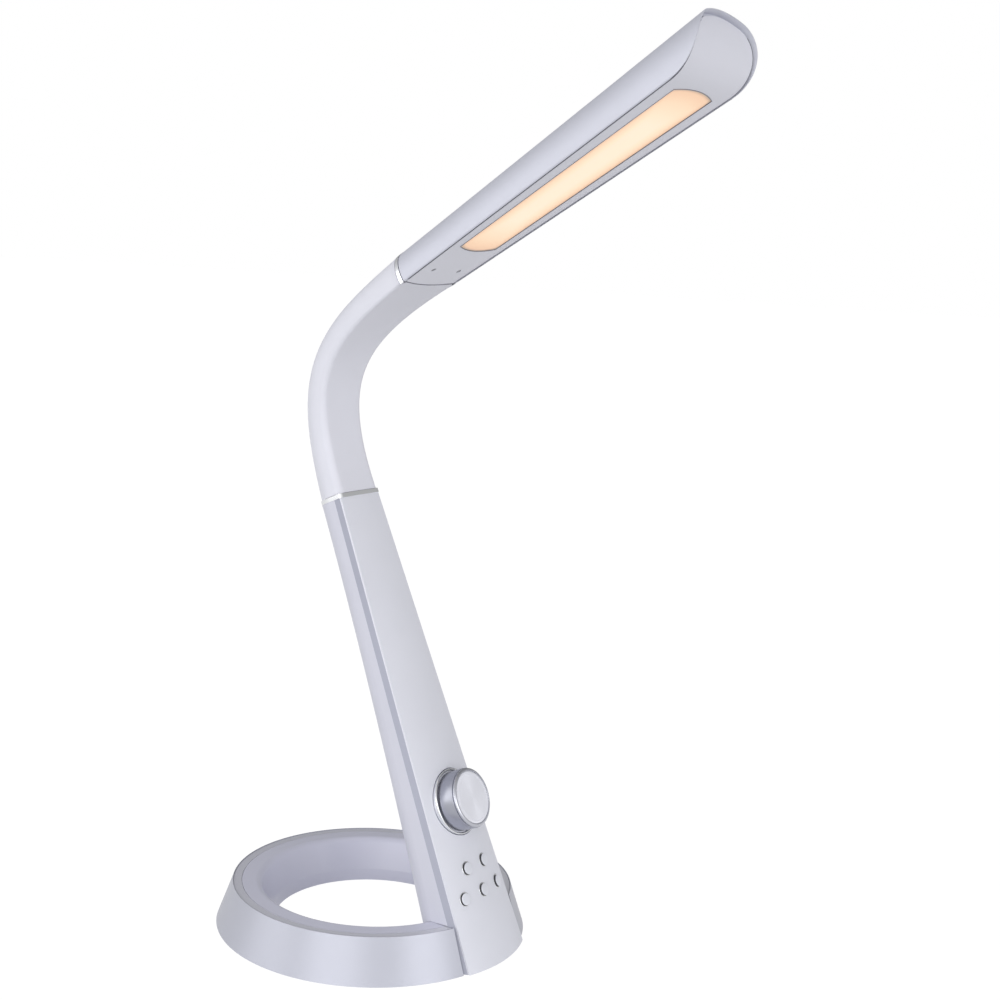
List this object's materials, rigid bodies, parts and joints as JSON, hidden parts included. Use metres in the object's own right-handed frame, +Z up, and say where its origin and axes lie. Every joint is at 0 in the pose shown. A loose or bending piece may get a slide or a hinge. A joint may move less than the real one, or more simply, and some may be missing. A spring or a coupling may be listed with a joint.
{
  "type": "led table lamp",
  "caption": "Table lamp with a ring-shaped base, a leaning flat stem with a dial and push buttons, a bendable sleeved neck and a flared head with a lit underside panel.",
  "frame": {"origin": "centre of the base ring, on the table under its soft pad", "axes": "+Z up, -Y towards the front, where the dial and the buttons are, and X across the lamp"},
  "size_m": [0.17, 0.2602, 0.4833],
  "materials": {
    "white_plastic": "satin white moulding, slightly glossy",
    "grey_plastic": "satin dark grey",
    "weight_iron": "rough cast",
    "sheet_steel": "zinc plated",
    "soft_pad": "matt",
    "screw_steel": "plain",
    "black_plastic": "matt",
    "bright_trim": "polished",
    "circuit_board": "solder mask",
    "satin_metal": "satin",
    "spun_metal": "spun, with a radial sheen",
    "lit_diffuser": "opal, lit warm",
    "clear_guide": "clear",
    "reflector": "white film",
    "spreader_metal": "mill finish",
    "bright_cap": "metal plated, glossy",
    "soft_sleeve": "satin white silicone"
  },
  "bodies": {
    "stand": {"base_shell": "white_plastic", "rim_trim": "grey_plastic", "base_funnel": "white_plastic", "base_weight": "weight_iron", "base_plate": "sheet_steel", "base_pad": "soft_pad", "base_screws": "screw_steel", "dc_inlet": "black_plastic", "front_cover": "white_plastic", "mid_frame": "grey_plastic", "rear_cover": "white_plastic", "stem_top_trim": "bright_trim", "stem_bracket": "sheet_steel", "stem_screws": "screw_steel", "control_board": "circuit_board", "tact_switches": "black_plastic", "encoder": "black_plastic", "driver_board": "circuit_board", "button_bezels": "bright_trim", "dial_ring": "bright_trim", "gooseneck_1": "screw_steel", "neck_sleeve_1": "soft_sleeve"},
    "neck_1": {"gooseneck_2": "screw_steel", "neck_sleeve_2": "soft_sleeve"},
    "neck_2": {"gooseneck_3": "screw_steel", "neck_sleeve_3": "soft_sleeve"},
    "neck_3": {"gooseneck_4": "screw_steel", "neck_sleeve_4": "soft_sleeve"},
    "neck_4": {"gooseneck_5": "screw_steel", "neck_sleeve_5": "soft_sleeve"},
    "neck_5": {"gooseneck_6": "screw_steel", "neck_sleeve_6": "soft_sleeve"},
    "neck_6": {"gooseneck_7": "screw_steel", "neck_sleeve_7": "soft_sleeve"},
    "head": {"head_shell": "white_plastic", "head_underside": "white_plastic", "diffuser": "lit_diffuser", "light_guide": "clear_guide", "reflector_sheet": "reflector", "led_strips": "circuit_board", "heat_spreader": "spreader_metal", "head_ferrule": "spreader_metal", "head_screws": "screw_steel", "joint_trim": "bright_trim", "gooseneck_8": "screw_steel", "neck_sleeve_8": "soft_sleeve"},
    "dial": {"dial_body": "satin_metal", "dial_disc": "spun_metal", "dial_shaft": "screw_steel"},
    "button_1": {"button_1": "bright_cap"},
    "button_2": {"button_2": "bright_cap"},
    "button_3": {"button_3": "bright_cap"},
    "button_4": {"button_4": "bright_cap"},
    "button_5": {"button_5": "bright_cap"}
  },
  "joints": [
    {"name": "neck_nod_1", "type": "hinge", "parent": "stand", "child": "neck_1", "pos_m": [0, 0.03669, 0.25094], "axis": [-1, 0, 0], "range_deg": [-12, 14], "deforming": ["neck_sleeve_2", "neck_sleeve_1"]},
    {"name": "neck_sway_1", "type": "hinge", "parent": "neck_1", "child": "neck_2", "pos_m": [0, 0.04162, 0.26808], "axis": [0, 0.9724, -0.2332], "range_deg": [-10, 10], "deforming": ["neck_sleeve_3"]},
    {"name": "neck_nod_2", "type": "hinge", "parent": "neck_2", "child": "neck_3", "pos_m": [0, 0.0438, 0.28675], "axis": [-1, 0, 0], "range_deg": [-12, 14], "deforming": ["neck_sleeve_4"]},
    {"name": "neck_sway_2", "type": "hinge", "parent": "neck_3", "child": "neck_4", "pos_m": [0, 0.04041, 0.30629], "axis": [0, 0.9423, 0.3348], "range_deg": [-10, 10], "deforming": ["neck_sleeve_5"]},
    {"name": "neck_nod_3", "type": "hinge", "parent": "neck_4", "child": "neck_5", "pos_m": [0, 0.03086, 0.32327], "axis": [-1, 0, 0], "range_deg": [-12, 14], "deforming": ["neck_sleeve_6"]},
    {"name": "neck_sway_3", "type": "hinge", "parent": "neck_5", "child": "neck_6", "pos_m": [0, 0.01835, 0.33658], "axis": [0, 0.6705, 0.7419], "range_deg": [-10, 10], "deforming": ["neck_sleeve_7"]},
    {"name": "neck_nod_4", "type": "hinge", "parent": "neck_6", "child": "head", "pos_m": [0, 0.00487, 0.34769], "axis": [-1, 0, 0], "range_deg": [-12, 14], "deforming": ["neck_sleeve_8"]},
    {"name": "dial_turn", "type": "hinge", "parent": "stand", "child": "dial", "pos_m": [0, -0.05153, 0.07981], "axis": [0, -0.911, 0.4123], "continuous": true},
    {"name": "button_1_press", "type": "slide", "parent": "stand", "child": "button_1", "axis": [0.0956, 0.9069, -0.4104], "range_m": [0, 0.0006], "stiffness_N_per_m": 2500, "springref_m": -0.0001},
    {"name": "button_2_press", "type": "slide", "parent": "stand", "child": "button_2", "axis": [-0.0956, 0.9069, -0.4104], "range_m": [0, 0.0006], "stiffness_N_per_m": 2500, "springref_m": -0.0001},
    {"name": "button_3_press", "type": "slide", "parent": "stand", "child": "button_3", "axis": [0.1927, 0.894, -0.4046], "range_m": [0, 0.0006], "stiffness_N_per_m": 2500, "springref_m": -0.0001},
    {"name": "button_4_press", "type": "slide", "parent": "stand", "child": "button_4", "axis": [0, 0.911, -0.4123], "range_m": [0, 0.0006], "stiffness_N_per_m": 2500, "springref_m": -0.0001},
    {"name": "button_5_press", "type": "slide", "parent": "stand", "child": "button_5", "axis": [-0.1927, 0.894, -0.4046], "range_m": [0, 0.0006], "stiffness_N_per_m": 2500, "springref_m": -0.0001}
  ],
  "couplings": [
    {"joint": "neck_nod_2", "follows": "neck_nod_1", "ratio": 1},
    {"joint": "neck_nod_3", "follows": "neck_nod_1", "ratio": 1},
    {"joint": "neck_nod_4", "follows": "neck_nod_1", "ratio": 1},
    {"joint": "neck_sway_2", "follows": "neck_sway_1", "ratio": 1},
    {"joint": "neck_sway_3", "follows": "neck_sway_1", "ratio": 1}
  ]
}
